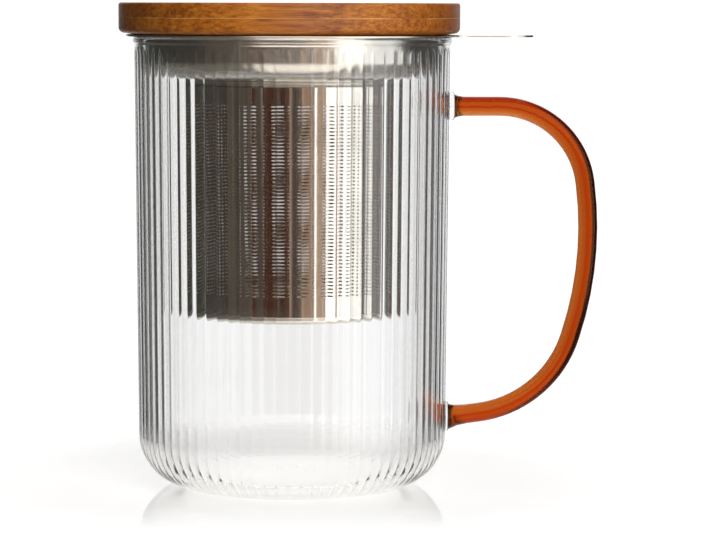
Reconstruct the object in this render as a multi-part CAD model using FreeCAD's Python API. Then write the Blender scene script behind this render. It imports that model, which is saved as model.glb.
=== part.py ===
import FreeCAD, Part
import math
import os

# A lidded glass tea mug with a steel infuser. All sizes are millimetres.
# The origin is the centre of the mug's base, +Z is up, +X points through the handle,
# and the mug is seen from -Y. Pieces: a ribbed clear mug, an amber handle fused to it by
# two clear welds, an infuser of three steel pieces that hangs in the mug by its flange,
# and a loose bamboo lid of three plies with a seal ring, which lies on the infuser.

# Ribbed mug
MUG_HEIGHT = 121.0
WALL_TOP_R = 42.45
WALL_DRAFT_DEG = 0.46
GLASS_WALL = 2.2
GLASS_BASE = 3.0
CORNER_R = 14.0
INNER_CORNER_R = 11.0
RIM_R = 42.9
RIM_HEIGHT = 2.1
RIM_SWELL = 0.7
RIM_EDGE_R = 0.9
RIB_COUNT = 82
RIB_DEPTH = 0.45
RIB_CREST_FLAT = 0.3
RIB_TOP_GAP = 2.7
RIB_RUNOUT_R = 12.0
RIB_FADE = 0.06
RIB_TIP_SPARE = 0.05

# How far cutting tools reach past what they cut, and how closely the ribs are cut
TOOL_SPARE = 1.0
CUT_TOLERANCE = 0.001

# Handle and its welds
ROD_R = 2.6
HANDLE_TOP_Z = 102.4
HANDLE_LOW_Z = 18.2
HANDLE_TOP_CORNER_X = 76.2
HANDLE_BACK_CORNER_X = 81.8
HANDLE_BACK_CORNER_Z = 60.7
HANDLE_LOW_CORNER_X = 69.4
HANDLE_LOW_CORNER_Z = 21.8
HANDLE_TOP_BEND_R = 23.4
HANDLE_BACK_BEND_R = 94.0
HANDLE_LOW_BEND_R = 30.0
FOOT_FLARE = 0.6
FOOT_LENGTH = 2.4
TOP_WELD_R = 3.8
TOP_WELD_STAND = 1.3
LOW_WELD_R = 4.2
LOW_WELD_STAND = 0.7
WELD_EDGE_R = 0.4

# Infuser
SHEET = 0.5
FLANGE_R = 44.7
DISH_R = 39.5
DISH_DEPTH = 11.1
DISH_SHOULDER_R = 5.0
FLANGE_BEND_R = 0.8
NECK_R = 28.6
NECK_DEPTH = 5.6
NECK_BEND_R = 0.4
NECK_BEADS = 2
NECK_BEAD_R = 0.3
NECK_BEAD_PITCH = 0.8
TAB_REACH = 64.75
TAB_WIDTH = 18.0
TAB_ROOT_R = 5.0
FILTER_SHEET = 0.4
FILTER_BOTTOM_Z = 46.3
FILTER_BASE_HEIGHT = 1.9
FILTER_BASE_EDGE_R = 1.1
FILTER_LIP = 3.0
WELD_GAP = 0.05
HOLE_D = 1.6
HOLE_ROWS = 14
HOLE_COLUMNS = 46
HOLES_TOP_Z = 103.5
HOLES_LOW_Z = 53.2
SEAM_DEG = 240.0
SEAM_WIDTH = 3.5
BASE_HOLE_PITCH = 3.6

# Lid
LID_R = 45.8
LID_UPPER_PLY = 4.0
LID_LOWER_PLY = 4.5
LID_TOP_EDGE_R = 0.7
LID_LOW_EDGE_R = 1.5
LID_SEAT_R = 41.3
LID_UNDER_RISE = 0.6
PLUG_DEPTH = 7.5
PLUG_INSET = 1.6
PLUG_EDGE_R = 0.6
SEAL_HEIGHT = 2.6
SEAL_GROOVE = 0.8
SEAL_EDGE_R = 1.17
SEAL_DROP = 2.4
SEAL_PLAY = 1.0
LID_SIDE_GAP = 0.2


def at(r, z, y=0.0):
    """A point of the XZ plane, or beside it."""
    return FreeCAD.Vector(r, y, z)


def along(start, end):
    """The direction from one (r, z) point to another, and its length."""
    dr = end[0] - start[0]
    dz = end[1] - start[1]
    length = math.hypot(dr, dz)
    return dr / length, dz / length, length


def rounded_edges(points, radii):
    """Lines through (r, z) points with an arc of the given radius at each inner point."""
    edges = []
    start = at(*points[0])
    for before, corner, after, radius in zip(points, points[1:], points[2:], radii):
        in_r, in_z, in_length = along(before, corner)
        out_r, out_z, out_length = along(corner, after)
        turn = math.acos(max(-1.0, min(1.0, in_r * out_r + in_z * out_z)))
        if radius > 0 and turn > 1e-6:
            cut_back = radius * math.tan(turn / 2)
            first = at(corner[0] - in_r * cut_back, corner[1] - in_z * cut_back)
            last = at(corner[0] + out_r * cut_back, corner[1] + out_z * cut_back)
            inward = at(out_r - in_r, out_z - in_z).normalize()
            centre_gap = radius / math.cos(turn / 2)
            middle = at(*corner) + inward * (centre_gap - radius)
            if start.distanceToPoint(first) > 1e-6:
                edges.append(Part.makeLine(start, first))
            edges.append(Part.Arc(first, middle, last).toShape())
            start = last
        else:
            edges.append(Part.makeLine(start, at(*corner)))
            start = at(*corner)
    edges.append(Part.makeLine(start, at(*points[-1])))
    return edges


def closed_face(points, radii):
    """A face inside a closed outline. The first point is a sharp corner."""
    edges = rounded_edges(points + [points[0]], radii)
    return Part.Face(Part.Wire(edges))


def turned(face):
    """The solid made by turning a face once round the mug's axis."""
    return face.revolve(at(0, 0), at(0, 1), 360)


def beside(points, distance):
    """A copy of a line of points, moved to its right by a distance, with its corners kept."""
    moved = []
    sides = [along(a, b) for a, b in zip(points, points[1:])]
    for index, (r, z) in enumerate(points):
        before = sides[max(index - 1, 0)]
        after = sides[min(index, len(sides) - 1)]
        right = ((before[1] + after[1]) / 2, -(before[0] + after[0]) / 2)
        scale = distance / (right[0] ** 2 + right[1] ** 2)
        moved.append((r + right[0] * scale, z + right[1] * scale))
    return moved


def sheet_face(points, radii, thickness):
    """The section of a bent sheet. The points and bend radii are those of its left surface."""
    other = beside(points, thickness)
    other_radii = []
    for before, corner, after, radius in zip(points, points[1:], points[2:], radii):
        in_r, in_z, _ = along(before, corner)
        out_r, out_z, _ = along(corner, after)
        left_turn = in_r * out_z - in_z * out_r > 0
        other_radii.append(radius + thickness if left_turn else radius - thickness)
    near = rounded_edges(points, radii)
    far = rounded_edges(other[::-1], other_radii[::-1])
    ends = [
        Part.makeLine(at(*points[-1]), at(*other[-1])),
        Part.makeLine(at(*other[0]), at(*points[0])),
    ]
    return Part.Face(Part.Wire(Part.__sortEdges__(near + far + ends)))


# Places on the ribbed wall, worked out from its sizes. OUT is the wall's outward normal and
# UP runs along the wall.
DRAFT = math.radians(WALL_DRAFT_DEG)
OUT = at(math.cos(DRAFT), -math.sin(DRAFT))
UP = at(math.sin(DRAFT), math.cos(DRAFT))
WALL_TOP_Z = MUG_HEIGHT - RIM_HEIGHT


def wall_r(z, inside=0.0):
    """Radius at height z of the line of the rib crests, or of a line that far inside it."""
    return WALL_TOP_R - (WALL_TOP_Z - z) * math.tan(DRAFT) - inside / math.cos(DRAFT)


def plain_mug():
    """The mug without its ribs: base, rounded corner, drafted wall and swelled rim."""
    rim_inner_r = wall_r(MUG_HEIGHT, GLASS_WALL)
    outline = [
        (0, 0),
        (wall_r(0), 0),
        (WALL_TOP_R, WALL_TOP_Z),
        (RIM_R, WALL_TOP_Z + RIM_SWELL),
        (RIM_R, MUG_HEIGHT),
        (rim_inner_r, MUG_HEIGHT),
        (wall_r(GLASS_BASE, GLASS_WALL), GLASS_BASE),
        (0, GLASS_BASE),
    ]
    swell = RIM_SWELL / 2
    radii = [CORNER_R, swell, swell, RIM_EDGE_R, RIM_EDGE_R, INNER_CORNER_R, 0]
    return turned(closed_face(outline, radii))


def groove_section(point, outward):
    """The section of the groove between two ribs: two arcs that meet in the valley."""
    half_pitch = math.pi * WALL_TOP_R / RIB_COUNT
    half_width = half_pitch - RIB_CREST_FLAT / 2
    centre_out = (RIB_DEPTH**2 - half_pitch**2 + (half_pitch - half_width) ** 2) / (2 * RIB_DEPTH)
    back_r = math.hypot(centre_out, half_pitch)
    middle_y = half_width / 2
    middle_out = centre_out + math.sqrt(back_r**2 - (half_pitch - middle_y) ** 2)
    beyond = RIB_DEPTH + TOOL_SPARE

    def place(out, y):
        return point + outward * out + FreeCAD.Vector(0, y, 0)

    valley = place(0, 0)
    left = Part.Arc(place(RIB_DEPTH, -half_width), place(middle_out, -middle_y), valley)
    right = Part.Arc(valley, place(middle_out, middle_y), place(RIB_DEPTH, half_width))
    edges = [
        left.toShape(),
        right.toShape(),
        Part.makeLine(place(RIB_DEPTH, half_width), place(beyond, half_width)),
        Part.makeLine(place(beyond, half_width), place(beyond, -half_width)),
        Part.makeLine(place(beyond, -half_width), place(RIB_DEPTH, -half_width)),
    ]
    return Part.Wire(edges)


def groove_tool():
    """What is cut from the plain mug between two ribs: it follows the wall, fades out
    round the bottom corner and rises to a point below the rim."""
    fade_r = CORNER_R + RIB_FADE
    corner_centre = at(wall_r(0) - CORNER_R * math.tan((math.pi / 2 - DRAFT) / 2), CORNER_R)
    low_wall = corner_centre + OUT * (CORNER_R - RIB_DEPTH)
    centre = low_wall - OUT * fade_r
    bottom = centre + at(0, -fade_r)
    half_way = centre + (OUT + at(0, -1)).normalize() * fade_r

    tip_turn = math.acos(1 - RIB_DEPTH / RIB_RUNOUT_R)
    end_turn = math.acos(1 - (RIB_DEPTH + RIB_TIP_SPARE) / RIB_RUNOUT_R)
    tip_rise = RIB_RUNOUT_R * math.sin(tip_turn)
    runout_z = MUG_HEIGHT - RIB_TOP_GAP - tip_rise
    high_wall = at(wall_r(runout_z, RIB_DEPTH), runout_z)

    def runout(turn):
        across = OUT * (RIB_RUNOUT_R * (1 - math.cos(turn)))
        return high_wall + across + UP * (RIB_RUNOUT_R * math.sin(turn))

    path = Part.Wire(
        [
            Part.Arc(bottom, half_way, low_wall).toShape(),
            Part.makeLine(low_wall, high_wall),
            Part.Arc(high_wall, runout(end_turn / 2), runout(end_turn)).toShape(),
        ]
    )
    return path.makePipeShell([groove_section(bottom, at(0, -1))], True, False)


def mug_body():
    """The clear ribbed mug. One groove faces the front."""
    tool = groove_tool()
    tools = []
    for index in range(RIB_COUNT):
        groove = tool.copy()
        groove.rotate(at(0, 0), at(0, 1), -90 + index * 360 / RIB_COUNT)
        tools.append(groove)
    return plain_mug().cut(tools, CUT_TOLERANCE)


def weld(mug, z, radius, stand):
    """A clear glass weld: a round pad on the wall, cut to fit the ribs."""
    face_x = wall_r(z) + stand
    pad = Part.makeCylinder(radius, stand + GLASS_WALL / 2, at(face_x, z), at(-1, 0))
    outer_edge = [edge for edge in pad.Edges if edge.BoundBox.XMin > face_x - 1e-6]
    return pad.makeFillet(WELD_EDGE_R, outer_edge).cut(mug)


def handle():
    """The amber glass rod, bent to a D, with a small flare at each foot."""
    top_x = wall_r(HANDLE_TOP_Z) + TOP_WELD_STAND
    low_x = wall_r(HANDLE_LOW_Z) + LOW_WELD_STAND
    corners = [
        (top_x, HANDLE_TOP_Z),
        (HANDLE_TOP_CORNER_X, HANDLE_TOP_Z),
        (HANDLE_BACK_CORNER_X, HANDLE_BACK_CORNER_Z),
        (HANDLE_LOW_CORNER_X, HANDLE_LOW_CORNER_Z),
        (low_x, HANDLE_LOW_Z),
    ]
    radii = [HANDLE_TOP_BEND_R, HANDLE_BACK_BEND_R, HANDLE_LOW_BEND_R]
    in_r, in_z, length = along(corners[-1], corners[-2])
    overrun = 2 * ROD_R
    corners[-1] = (low_x - in_r * overrun, HANDLE_LOW_Z - in_z * overrun)
    path = Part.Wire(rounded_edges(corners, radii))
    ring = Part.Wire([Part.makeCircle(ROD_R, at(top_x, HANDLE_TOP_Z), at(1, 0))])
    rod = path.makePipeShell([ring], True, False)
    foot_r = ROD_R + FOOT_FLARE
    top_foot = Part.makeCone(foot_r, ROD_R, FOOT_LENGTH, at(top_x, HANDLE_TOP_Z), at(1, 0))
    low_foot = Part.makeCone(
        foot_r + FOOT_FLARE, ROD_R, 2 * FOOT_LENGTH,
        at(low_x - in_r * FOOT_LENGTH, HANDLE_LOW_Z - in_z * FOOT_LENGTH), at(in_r, in_z),
    )
    side = 4 * (overrun + foot_r)
    behind = Part.makeBox(side, side, side, at(low_x - side, HANDLE_LOW_Z - side / 2, -side / 2))
    return rod.fuse([top_foot, low_foot]).cut(behind).removeSplitter()


def infuser_dish():
    """Flange, tab, dish and neck, pressed from one sheet."""
    step_z = MUG_HEIGHT - DISH_DEPTH
    neck_end = step_z - NECK_DEPTH
    line = [
        (FLANGE_R, MUG_HEIGHT),
        (DISH_R, MUG_HEIGHT),
        (DISH_R, step_z),
        (NECK_R, step_z),
        (NECK_R, neck_end),
    ]
    dish = turned(sheet_face(line, [FLANGE_BEND_R, DISH_SHOULDER_R, NECK_BEND_R], SHEET))
    tab_start = DISH_R + 2 * FLANGE_BEND_R + SHEET
    tab_round = TAB_WIDTH / 2
    tab_end = TAB_REACH - tab_round
    tab = Part.makeBox(
        tab_end - tab_start, TAB_WIDTH, SHEET, at(tab_start, MUG_HEIGHT, -tab_round)
    )
    tip = Part.makeCylinder(tab_round, SHEET, at(tab_end, MUG_HEIGHT))
    dish = dish.fuse([tab, tip]).removeSplitter()
    roots = [
        edge
        for edge in dish.Edges
        if edge.BoundBox.ZLength > SHEET / 2
        and edge.BoundBox.XLength < 1e-6
        and math.isclose(abs(edge.BoundBox.YMin), tab_round, abs_tol=1e-6)
        and math.isclose(math.hypot(edge.BoundBox.XMin, edge.BoundBox.YMin), FLANGE_R, abs_tol=1e-3)
    ]
    dish = dish.makeFillet(TAB_ROOT_R, roots)
    beads = []
    for index in range(NECK_BEADS):
        z = step_z - NECK_BEND_R - NECK_BEAD_R - index * NECK_BEAD_PITCH
        beads.append(Part.makeTorus(NECK_R, NECK_BEAD_R, at(0, z)))
    return dish.fuse(beads)


def infuser_wall():
    """The filter's rolled and perforated side, with a blank strip at its seam."""
    inner_r = NECK_R + WELD_GAP
    outer_r = inner_r + FILTER_SHEET
    low_z = FILTER_BOTTOM_Z + FILTER_BASE_HEIGHT
    top_z = MUG_HEIGHT - DISH_DEPTH - NECK_BEND_R - NECK_BEADS * NECK_BEAD_PITCH
    tube = Part.makeCylinder(outer_r, top_z - low_z, at(0, low_z))
    tube = tube.cut(Part.makeCylinder(inner_r, top_z - low_z, at(0, low_z)))
    blank_deg = math.degrees(SEAM_WIDTH / outer_r)
    step_deg = (360 - blank_deg) / HOLE_COLUMNS
    row_gap = (HOLES_TOP_Z - HOLES_LOW_Z) / HOLE_ROWS
    holes = []
    for row in range(HOLE_ROWS):
        z = HOLES_LOW_Z + row_gap * (row + 0.5)
        for column in range(HOLE_COLUMNS):
            angle = math.radians(SEAM_DEG + blank_deg / 2 + step_deg * (column + 0.5))
            outward = FreeCAD.Vector(math.cos(angle), math.sin(angle), 0)
            start = outward * (inner_r - TOOL_SPARE) + at(0, z)
            length = FILTER_SHEET + 2 * TOOL_SPARE
            holes.append(Part.makeCylinder(HOLE_D / 2, length, start, outward))
    return tube.cut(holes)


def infuser_base():
    """The filter's floor: a shallow pressed cup with holes, whose lip is inside the wall."""
    lip_r = NECK_R
    outer_r = lip_r + WELD_GAP + FILTER_SHEET
    joint_z = FILTER_BOTTOM_Z + FILTER_BASE_HEIGHT
    lip_z = joint_z + FILTER_LIP
    floor_z = FILTER_BOTTOM_Z + FILTER_SHEET
    inner_r = lip_r - FILTER_SHEET
    outline = [
        (0, FILTER_BOTTOM_Z),
        (outer_r, FILTER_BOTTOM_Z),
        (outer_r, joint_z),
        (lip_r, joint_z),
        (lip_r, lip_z),
        (inner_r, lip_z),
        (inner_r, floor_z),
        (0, floor_z),
    ]
    radii = [FILTER_BASE_EDGE_R, 0, 0, 0, 0, FILTER_BASE_EDGE_R - FILTER_SHEET / 2, 0]
    floor = turned(closed_face(outline, radii))
    holes = []
    last_r = inner_r - FILTER_BASE_EDGE_R - HOLE_D
    for ring in range(int(last_r / BASE_HOLE_PITCH) + 1):
        radius = ring * BASE_HOLE_PITCH
        count = max(1, 6 * ring)
        for index in range(count):
            angle = 2 * math.pi * index / count
            outward = FreeCAD.Vector(math.cos(angle), math.sin(angle), 0)
            start = outward * radius + at(0, FILTER_BOTTOM_Z - TOOL_SPARE)
            length = FILTER_SHEET + 2 * TOOL_SPARE
            holes.append(Part.makeCylinder(HOLE_D / 2, length, start))
    return floor.cut(holes)


# Places of the lid. It lies on the flange and is pushed to one side in its play.
LID_Z = MUG_HEIGHT + SHEET
DISH_INNER_R = DISH_R - SHEET
SEAL_R = DISH_INNER_R - SEAL_PLAY
PLUG_R = SEAL_R - PLUG_INSET
LID_X = LID_SIDE_GAP - SEAL_PLAY


def on_lid(solid):
    """The piece moved from the mug's axis to the lid's."""
    solid.translate(at(LID_X, 0))
    return solid


def lid_upper_ply():
    """The top bamboo board."""
    low = LID_Z + LID_LOWER_PLY
    top = low + LID_UPPER_PLY
    outline = [(0, low), (LID_R, low), (LID_R, top), (0, top)]
    return on_lid(turned(closed_face(outline, [0, LID_TOP_EDGE_R, 0])))


def lid_lower_ply():
    """The board that lies on the flange. Outside its seat its underside rises a little."""
    top = LID_Z + LID_LOWER_PLY
    outline = [
        (0, LID_Z),
        (LID_SEAT_R, LID_Z),
        (LID_R, LID_Z + LID_UNDER_RISE),
        (LID_R, top),
        (0, top),
    ]
    return on_lid(turned(closed_face(outline, [0, LID_LOW_EDGE_R, 0, 0])))


def lid_plug():
    """The disc under the lid that keeps it in the dish, with a groove for the seal."""
    low = LID_Z - PLUG_DEPTH
    seal_top = LID_Z - SEAL_DROP
    seal_low = seal_top - SEAL_HEIGHT
    groove_r = PLUG_R - SEAL_GROOVE
    outline = [
        (0, low),
        (PLUG_R, low),
        (PLUG_R, seal_low),
        (groove_r, seal_low),
        (groove_r, seal_top),
        (PLUG_R, seal_top),
        (PLUG_R, LID_Z),
        (0, LID_Z),
    ]
    return on_lid(turned(closed_face(outline, [PLUG_EDGE_R, 0, 0, 0, 0, 0, 0])))


def lid_seal():
    """The soft ring in the plug's groove, with a rounded bead outside."""
    top = LID_Z - SEAL_DROP
    low = top - SEAL_HEIGHT
    inner_r = PLUG_R - SEAL_GROOVE
    outline = [(inner_r, low), (SEAL_R, low), (SEAL_R, top), (inner_r, top)]
    return on_lid(turned(closed_face(outline, [SEAL_EDGE_R, SEAL_EDGE_R, 0])))


def main():
    """Makes every piece and writes it to a file of its own."""
    mug = mug_body()
    pieces = {
        "mug_body": mug,
        "upper_handle_weld": weld(mug, HANDLE_TOP_Z, TOP_WELD_R, TOP_WELD_STAND),
        "lower_handle_weld": weld(mug, HANDLE_LOW_Z, LOW_WELD_R, LOW_WELD_STAND),
        "handle": handle(),
        "infuser_dish": infuser_dish(),
        "infuser_wall": infuser_wall(),
        "infuser_base": infuser_base(),
        "lid_upper_ply": lid_upper_ply(),
        "lid_lower_ply": lid_lower_ply(),
        "lid_plug": lid_plug(),
        "lid_seal": lid_seal(),
    }
    os.makedirs("parts", exist_ok=True)
    for name, shape in pieces.items():
        shape.exportStep("parts/" + name + ".step")
        box = shape.BoundBox
        print(
            name, "solids", len(shape.Solids), "valid", shape.isValid(),
            "volume", round(shape.Volume, 1),
            "x", round(box.XMin, 2), round(box.XMax, 2),
            "z", round(box.ZMin, 2), round(box.ZMax, 2),
        )


main()
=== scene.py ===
"""Looks of a lidded tea mug: ribbed clear glass, amber handle, steel infuser, bamboo lid."""

import logging
import math
from collections.abc import Callable, Sequence
from dataclasses import dataclass
from enum import Enum

import bpy
from mathutils import Matrix, Vector


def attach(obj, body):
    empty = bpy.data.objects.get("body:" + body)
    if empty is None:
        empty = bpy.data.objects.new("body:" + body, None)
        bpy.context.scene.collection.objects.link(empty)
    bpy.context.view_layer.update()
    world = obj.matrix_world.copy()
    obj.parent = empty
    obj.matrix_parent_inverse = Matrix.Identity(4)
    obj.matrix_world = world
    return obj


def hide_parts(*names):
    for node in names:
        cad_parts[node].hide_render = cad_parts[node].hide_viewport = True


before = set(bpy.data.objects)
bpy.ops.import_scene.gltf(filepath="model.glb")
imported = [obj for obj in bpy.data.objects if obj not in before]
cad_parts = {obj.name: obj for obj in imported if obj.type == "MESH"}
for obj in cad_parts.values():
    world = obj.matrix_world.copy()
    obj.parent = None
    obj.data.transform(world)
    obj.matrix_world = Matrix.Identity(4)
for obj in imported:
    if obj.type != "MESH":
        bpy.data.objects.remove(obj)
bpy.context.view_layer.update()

MM = 0.001
MERGE_GAP = 0.0005 * MM
HAIR = 0.01 * MM
MARGIN = 0.1 * MM
LOG = logging.getLogger("tea_mug")
Point = tuple[float, float]
Corner = tuple[float, float, float]
Colour = tuple[float, float, float]
Fade = tuple[float, float]


class Slot(Enum):
    """The record's material slots."""

    CLEAR_GLASS = "clear_glass"
    AMBER_GLASS = "amber_glass"
    STEEL = "steel"
    BAMBOO = "bamboo"
    SILICONE = "silicone"


class Body(Enum):
    """The bodies that move on their own."""

    MUG = "mug"
    INFUSER = "infuser"
    LID = "lid"


def fillet(
    before: Vector, corner: Vector, after: Vector, radius: float
) -> tuple[Vector, Vector, Vector, float]:
    """Works out the arc that rounds a corner of a line.

    Args:
        before: The point before the corner.
        corner: The corner.
        after: The point after it.
        radius: The arc's radius.

    Returns:
        The arc's start, end and centre, and the angle that the line turns by.
    """
    back = (before - corner).normalized()
    on = (after - corner).normalized()
    turn = math.pi - back.angle(on)
    cut = radius * math.tan(turn / 2)
    centre = corner + (back + on).normalized() * radius / math.cos(turn / 2)
    return corner + back * cut, corner + on * cut, centre, turn


def rounded(corners: Sequence[Corner], edge_turn: float = 8.0) -> list[Point]:
    """Draws an open line through corners, each with a fillet of its own radius.

    Args:
        corners: The radius, height and fillet radius of each corner.
        edge_turn: The largest turn between two edges of a fillet, in degrees.

    Returns:
        The line's points.
    """
    points = [corners[0][:2]]
    for before, corner, after in zip(corners, corners[1:], corners[2:]):
        radius = corner[2]
        if radius == 0:
            points.append(corner[:2])
            continue
        places = [Vector(place[:2]) for place in (before, corner, after)]
        start, end, centre, turn = fillet(*places, radius)
        steps = max(2, math.ceil(math.degrees(turn) / edge_turn))
        for step in range(steps + 1):
            share = turn * step / steps
            arm = (start - centre) * math.sin(turn - share) + (end - centre) * math.sin(share)
            points.append(tuple(centre + arm / math.sin(turn)))
    points.append(corners[-1][:2])
    return points


class Piece:
    """A mesh on the bench, shaped with Blender's own operators in edit mode."""

    def __init__(self, name: str) -> None:
        """Takes the primitive that was just added and opens it for editing.

        Args:
            name: The piece's name.
        """
        self.obj = bpy.context.active_object
        self.obj.name = name
        self.obj.data.name = name
        bpy.ops.object.transform_apply(location=True, rotation=True, scale=True)
        bpy.ops.object.mode_set(mode="EDIT")

    @classmethod
    def line(cls, name: str, points: Sequence[Point]) -> "Piece":
        """Draws a line in the XZ plane by extruding one point again and again.

        Args:
            name: The piece's name.
            points: The radius and height of each point.

        Returns:
            The line, all selected.
        """
        clear_bench()
        bpy.ops.mesh.primitive_plane_add(size=MM)
        piece = cls(name)
        bpy.ops.mesh.select_mode(type="VERT")
        bpy.ops.mesh.select_all(action="SELECT")
        bpy.ops.mesh.merge(type="CENTER")
        bpy.ops.transform.translate(value=(points[0][0], 0, points[0][1]))
        for start, end in zip(points, points[1:]):
            step = (end[0] - start[0], 0, end[1] - start[1])
            bpy.ops.mesh.extrude_vertices_move(TRANSFORM_OT_translate={"value": step})
        bpy.ops.mesh.select_all(action="SELECT")
        return piece

    @classmethod
    def turned(
        cls, name: str, corners: Sequence[Corner], steps: int, edge_turn: float = 8.0
    ) -> "Piece":
        """Turns an outline once round the Z axis, as on a lathe.

        Args:
            name: The piece's name.
            corners: The outline's corners, as rounded() takes them.
            steps: Faces round the axis.
            edge_turn: The largest turn between two edges of a fillet, in degrees.

        Returns:
            The turned piece, its seam and poles merged and its faces outwards.
        """
        piece = cls.line(name, rounded(corners, edge_turn))
        piece.modifier(
            "SCREW", angle=2 * math.pi, steps=steps, render_steps=steps, axis="Z",
            use_merge_vertices=True, merge_threshold=MERGE_GAP,
        )
        return piece.merged()

    @classmethod
    def ring(cls, name: str, centre: Vector, radius: float, sides: int, tilt: float = 0.0) -> "Piece":
        """Adds a ring of edges whose axis lies in the XZ plane.

        Args:
            name: The piece's name.
            centre: The ring's centre.
            radius: The ring's radius.
            sides: Its edges.
            tilt: The turn of its axis from +Z about +Y, in radians.

        Returns:
            The ring, all selected.
        """
        clear_bench()
        bpy.ops.mesh.primitive_circle_add(
            vertices=sides, radius=radius, location=centre, rotation=(0, tilt, 0)
        )
        return cls(name)

    def copy(self, name: str) -> "Piece":
        """Copies the piece, with a mesh of its own.

        Args:
            name: The copy's name.

        Returns:
            The copy, all selected in edit mode.
        """
        clear_bench()
        self.obj.select_set(True)
        bpy.context.view_layer.objects.active = self.obj
        bpy.ops.object.duplicate(linked=False)
        twin = Piece(name)
        bpy.ops.mesh.select_all(action="SELECT")
        return twin

    def open(self) -> "Piece":
        """Opens the piece for editing, with nothing selected.

        Returns:
            The piece, in edit mode.
        """
        clear_bench()
        self.obj.select_set(True)
        bpy.context.view_layer.objects.active = self.obj
        bpy.ops.object.mode_set(mode="EDIT")
        bpy.ops.mesh.select_all(action="DESELECT")
        return self

    def merged(self, gap: float = MERGE_GAP) -> "Piece":
        """Joins points that coincide and turns every face outwards.

        Args:
            gap: Points that lie nearer than this are joined.

        Returns:
            The piece, all selected.
        """
        bpy.ops.mesh.select_all(action="SELECT")
        bpy.ops.mesh.remove_doubles(threshold=gap)
        bpy.ops.mesh.normals_make_consistent(inside=False)
        return self

    def select(self, where: Callable[[Vector], bool], faces: bool = False) -> "Piece":
        """Selects points, or faces, by their place.

        Args:
            where: Says of a point, or of a face's middle, whether it is taken.
            faces: Whether faces are asked for.

        Returns:
            The piece, back in edit mode.
        """
        bpy.ops.mesh.select_mode(type="FACE" if faces else "VERT")
        bpy.ops.mesh.select_all(action="DESELECT")
        bpy.ops.object.mode_set(mode="OBJECT")
        if faces:
            for face in self.obj.data.polygons:
                face.select = where(face.center)
        else:
            for vertex in self.obj.data.vertices:
                vertex.select = where(vertex.co)
        bpy.ops.object.mode_set(mode="EDIT")
        bpy.ops.mesh.select_mode(type="FACE" if faces else "VERT")
        return self

    def face_out(self, looks_out: Callable[[bpy.types.MeshPolygon], float]) -> "Piece":
        """Turns an open sheet's faces over if they look the wrong way.

        Args:
            looks_out: How far a face looks outwards; less than 0 for inwards.

        Returns:
            The piece, all selected in edit mode.
        """
        bpy.ops.object.mode_set(mode="OBJECT")
        total = sum(looks_out(face) for face in self.obj.data.polygons)
        bpy.ops.object.mode_set(mode="EDIT")
        bpy.ops.mesh.select_all(action="SELECT")
        if total < 0:
            bpy.ops.mesh.flip_normals()
        return self

    def turn(self, angle: float, axis: str = "Z") -> "Piece":
        """Turns what is selected about an axis through the origin, by the right-hand rule."""
        bpy.ops.transform.rotate(value=-angle, orient_axis=axis, center_override=(0, 0, 0))
        return self

    def grow(self, step: Sequence[float]) -> "Piece":
        """Extrudes what is selected by a step."""
        bpy.ops.mesh.extrude_region_move(TRANSFORM_OT_translate={"value": step})
        return self

    def scale(self, by: Sequence[float], about: Sequence[float]) -> "Piece":
        """Scales what is selected about a point."""
        bpy.ops.transform.resize(value=by, center_override=about)
        return self

    def weigh(self, group: str, weight: Callable[[Vector], float]) -> "Piece":
        """Gives each point a weight by its place.

        Args:
            group: The vertex group's name.
            weight: The weight of a point; 0 leaves it out.

        Returns:
            The piece, in edit mode.
        """
        bpy.ops.object.mode_set(mode="OBJECT")
        members = self.obj.vertex_groups.new(name=group)
        for vertex in self.obj.data.vertices:
            amount = weight(vertex.co)
            if amount > 0:
                members.add([vertex.index], amount, "REPLACE")
        bpy.ops.object.mode_set(mode="EDIT")
        return self

    def modifier(self, kind: str, **settings: object) -> "Piece":
        """Adds a modifier with its settings and applies it.

        Args:
            kind: The modifier's type.
            **settings: Its settings.

        Returns:
            The piece, in edit mode.
        """
        bpy.ops.object.mode_set(mode="OBJECT")
        modifier = self.obj.modifiers.new(kind.lower(), kind)
        for name, value in settings.items():
            setattr(modifier, name, value)
        bpy.ops.object.modifier_apply(modifier=modifier.name)
        bpy.ops.object.mode_set(mode="EDIT")
        return self

    def join(self, others: Sequence["Piece"]) -> "Piece":
        """Joins other pieces to this one.

        Args:
            others: The pieces, each left in object mode.

        Returns:
            This piece, in edit mode.
        """
        clear_bench()
        for piece in (*others, self):
            piece.obj.select_set(True)
        bpy.context.view_layer.objects.active = self.obj
        bpy.ops.object.join()
        bpy.ops.object.mode_set(mode="EDIT")
        return self

    def finish(
        self,
        body: Body,
        nodes: Sequence[str],
        slot: Slot,
        material: bpy.types.Material,
        sharp: float = 30.0,
    ) -> bpy.types.Object:
        """Shades the piece, dresses it and sets it on its body.

        Args:
            body: The body that it moves with.
            nodes: The CAD nodes that it stands for.
            slot: The record's material slot; not used.
            material: Its finish.
            sharp: Edges that turn by more than this many degrees stay sharp.

        Returns:
            The finished object.
        """
        bpy.ops.mesh.select_all(action="DESELECT")
        bpy.ops.object.mode_set(mode="OBJECT")
        clear_bench()
        self.obj.select_set(True)
        bpy.context.view_layer.objects.active = self.obj
        bpy.ops.object.shade_smooth_by_angle(angle=math.radians(sharp))
        self.obj.vertex_groups.clear()
        self.obj.data.materials.clear()
        self.obj.data.materials.append(material)
        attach(self.obj, body.value)
        for node in nodes:
            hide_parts(node)
        LOG.info("%s: %d faces", self.obj.name, len(self.obj.data.polygons))
        return self.obj


def clear_bench() -> None:
    """Leaves object mode with nothing selected."""
    if bpy.context.object is not None and bpy.context.object.mode != "OBJECT":
        bpy.ops.object.mode_set(mode="OBJECT")
    bpy.ops.object.select_all(action="DESELECT")


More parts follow.
